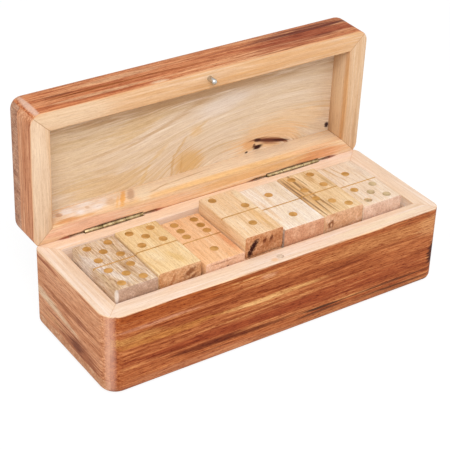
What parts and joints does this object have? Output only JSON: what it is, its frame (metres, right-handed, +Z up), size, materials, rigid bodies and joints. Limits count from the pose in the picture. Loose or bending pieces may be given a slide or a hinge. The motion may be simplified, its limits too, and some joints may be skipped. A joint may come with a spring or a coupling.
{
  "type": "domino box",
  "caption": "Mitred hardwood case with a hinged lid standing open, holding stacked wooden dominoes with brass inlaid pips and a steel catch pin.",
  "frame": {"origin": "centre of the box's underside", "axes": "+X along the box's length, -Y to the front, where the lid opens, +Z up"},
  "size_m": [0.2, 0.0986, 0.1188],
  "materials": {
    "case_wood": "oiled and wiped with a red-brown stain outside, bare pale wood on the rims and inside",
    "tile_wood": "bare sanded pale wood with flush brass pips and dividing strip",
    "brass": "dull worn brass",
    "steel": "plain satin steel"
  },
  "bodies": {
    "box": {"box_bottom_board": "case_wood", "box_front_wall": "case_wood", "box_back_wall": "case_wood", "box_left_wall": "case_wood", "box_right_wall": "case_wood", "left_hinge_box_leaf": "brass", "left_hinge_pin": "steel", "right_hinge_box_leaf": "brass", "right_hinge_pin": "steel", "box_hinge_brads": "brass"},
    "lid": {"lid_top_board": "case_wood", "lid_front_rail": "case_wood", "lid_back_rail": "case_wood", "lid_left_rail": "case_wood", "lid_right_rail": "case_wood", "left_hinge_lid_leaf": "brass", "right_hinge_lid_leaf": "brass", "lid_hinge_brads": "brass", "lid_catch_pin": "steel"},
    "domino_0_0": {"domino_0_0": "tile_wood"},
    "domino_6_6": {"domino_6_6": "tile_wood"},
    "domino_3_2": {"domino_3_2": "tile_wood"},
    "domino_4_0": {"domino_4_0": "tile_wood"},
    "domino_6_5": {"domino_6_5": "tile_wood"},
    "domino_2_2": {"domino_2_2": "tile_wood"},
    "domino_3_1": {"domino_3_1": "tile_wood"},
    "domino_5_3": {"domino_5_3": "tile_wood"},
    "domino_4_1": {"domino_4_1": "tile_wood"},
    "domino_2_0": {"domino_2_0": "tile_wood"},
    "domino_6_3": {"domino_6_3": "tile_wood"},
    "domino_3_3": {"domino_3_3": "tile_wood"},
    "domino_5_4": {"domino_5_4": "tile_wood"},
    "domino_1_0": {"domino_1_0": "tile_wood"},
    "domino_6_0": {"domino_6_0": "tile_wood"},
    "domino_5_2": {"domino_5_2": "tile_wood"},
    "domino_4_4": {"domino_4_4": "tile_wood"},
    "domino_3_0": {"domino_3_0": "tile_wood"},
    "domino_6_2": {"domino_6_2": "tile_wood"},
    "domino_4_2": {"domino_4_2": "tile_wood"},
    "domino_6_4": {"domino_6_4": "tile_wood"},
    "domino_5_5": {"domino_5_5": "tile_wood"},
    "domino_5_0": {"domino_5_0": "tile_wood"},
    "domino_6_1": {"domino_6_1": "tile_wood"},
    "domino_2_1": {"domino_2_1": "tile_wood"},
    "domino_1_1": {"domino_1_1": "tile_wood"},
    "domino_4_3": {"domino_4_3": "tile_wood"},
    "domino_5_1": {"domino_5_1": "tile_wood"}
  },
  "joints": [
    {"name": "lid_hinge", "type": "hinge", "parent": "box", "child": "lid", "pos_m": [0, 0.0355, 0.0455], "axis": [-1, 0, 0], "range_deg": [-89, 0]},
    {"name": "lift_domino_0_0", "type": "slide", "parent": "box", "child": "domino_0_0", "axis": [0, 0, 1], "range_m": [0, 0.0425]},
    {"name": "lift_domino_6_6", "type": "slide", "parent": "box", "child": "domino_6_6", "axis": [0, 0, 1], "range_m": [0, 0.0425]},
    {"name": "lift_domino_3_2", "type": "slide", "parent": "box", "child": "domino_3_2", "axis": [0, 0, 1], "range_m": [0, 0.0425]},
    {"name": "lift_domino_4_0", "type": "slide", "parent": "box", "child": "domino_4_0", "axis": [0, 0, 1], "range_m": [0, 0.0425]},
    {"name": "lift_domino_6_5", "type": "slide", "parent": "box", "child": "domino_6_5", "axis": [0, 0, 1], "range_m": [0, 0.0425]},
    {"name": "lift_domino_2_2", "type": "slide", "parent": "box", "child": "domino_2_2", "axis": [0, 0, 1], "range_m": [0, 0.0425]},
    {"name": "lift_domino_3_1", "type": "slide", "parent": "box", "child": "domino_3_1", "axis": [0, 0, 1], "range_m": [0, 0.0425]},
    {"name": "lift_domino_5_3", "type": "slide", "parent": "domino_0_0", "child": "domino_5_3", "axis": [0, 0, 1], "range_m": [0, 0.0315]},
    {"name": "lift_domino_4_1", "type": "slide", "parent": "domino_6_6", "child": "domino_4_1", "axis": [0, 0, 1], "range_m": [0, 0.0313]},
    {"name": "lift_domino_2_0", "type": "slide", "parent": "domino_3_2", "child": "domino_2_0", "axis": [0, 0, 1], "range_m": [0, 0.0321]},
    {"name": "lift_domino_6_3", "type": "slide", "parent": "domino_4_0", "child": "domino_6_3", "axis": [0, 0, 1], "range_m": [0, 0.0304]},
    {"name": "lift_domino_3_3", "type": "slide", "parent": "domino_6_5", "child": "domino_3_3", "axis": [0, 0, 1], "range_m": [0, 0.0309]},
    {"name": "lift_domino_5_4", "type": "slide", "parent": "domino_2_2", "child": "domino_5_4", "axis": [0, 0, 1], "range_m": [0, 0.0309]},
    {"name": "lift_domino_1_0", "type": "slide", "parent": "domino_3_1", "child": "domino_1_0", "axis": [0, 0, 1], "range_m": [0, 0.0314]},
    {"name": "lift_domino_6_0", "type": "slide", "parent": "domino_5_3", "child": "domino_6_0", "axis": [0, 0, 1], "range_m": [0, 0.0205]},
    {"name": "lift_domino_5_2", "type": "slide", "parent": "domino_4_1", "child": "domino_5_2", "axis": [0, 0, 1], "range_m": [0, 0.0201]},
    {"name": "lift_domino_4_4", "type": "slide", "parent": "domino_2_0", "child": "domino_4_4", "axis": [0, 0, 1], "range_m": [0, 0.0217]},
    {"name": "lift_domino_3_0", "type": "slide", "parent": "domino_6_3", "child": "domino_3_0", "axis": [0, 0, 1], "range_m": [0, 0.0182]},
    {"name": "lift_domino_6_2", "type": "slide", "parent": "domino_3_3", "child": "domino_6_2", "axis": [0, 0, 1], "range_m": [0, 0.0193]},
    {"name": "lift_domino_4_2", "type": "slide", "parent": "domino_5_4", "child": "domino_4_2", "axis": [0, 0, 1], "range_m": [0, 0.0192]},
    {"name": "lift_domino_6_4", "type": "slide", "parent": "domino_1_0", "child": "domino_6_4", "axis": [0, 0, 1], "range_m": [0, 0.0202]},
    {"name": "lift_domino_5_5", "type": "slide", "parent": "domino_6_0", "child": "domino_5_5", "axis": [0, 0, 1], "range_m": [0, 0.0095]},
    {"name": "lift_domino_5_0", "type": "slide", "parent": "domino_5_2", "child": "domino_5_0", "axis": [0, 0, 1], "range_m": [0, 0.0089]},
    {"name": "lift_domino_6_1", "type": "slide", "parent": "domino_4_4", "child": "domino_6_1", "axis": [0, 0, 1], "range_m": [0, 0.0113]},
    {"name": "lift_domino_2_1", "type": "slide", "parent": "domino_3_0", "child": "domino_2_1", "axis": [0, 0, 1], "range_m": [0, 0.0061]},
    {"name": "lift_domino_1_1", "type": "slide", "parent": "domino_6_2", "child": "domino_1_1", "axis": [0, 0, 1], "range_m": [0, 0.0077]},
    {"name": "lift_domino_4_3", "type": "slide", "parent": "domino_4_2", "child": "domino_4_3", "axis": [0, 0, 1], "range_m": [0, 0.0076]},
    {"name": "lift_domino_5_1", "type": "slide", "parent": "domino_6_4", "child": "domino_5_1", "axis": [0, 0, 1], "range_m": [0, 0.0091]}
  ]
}
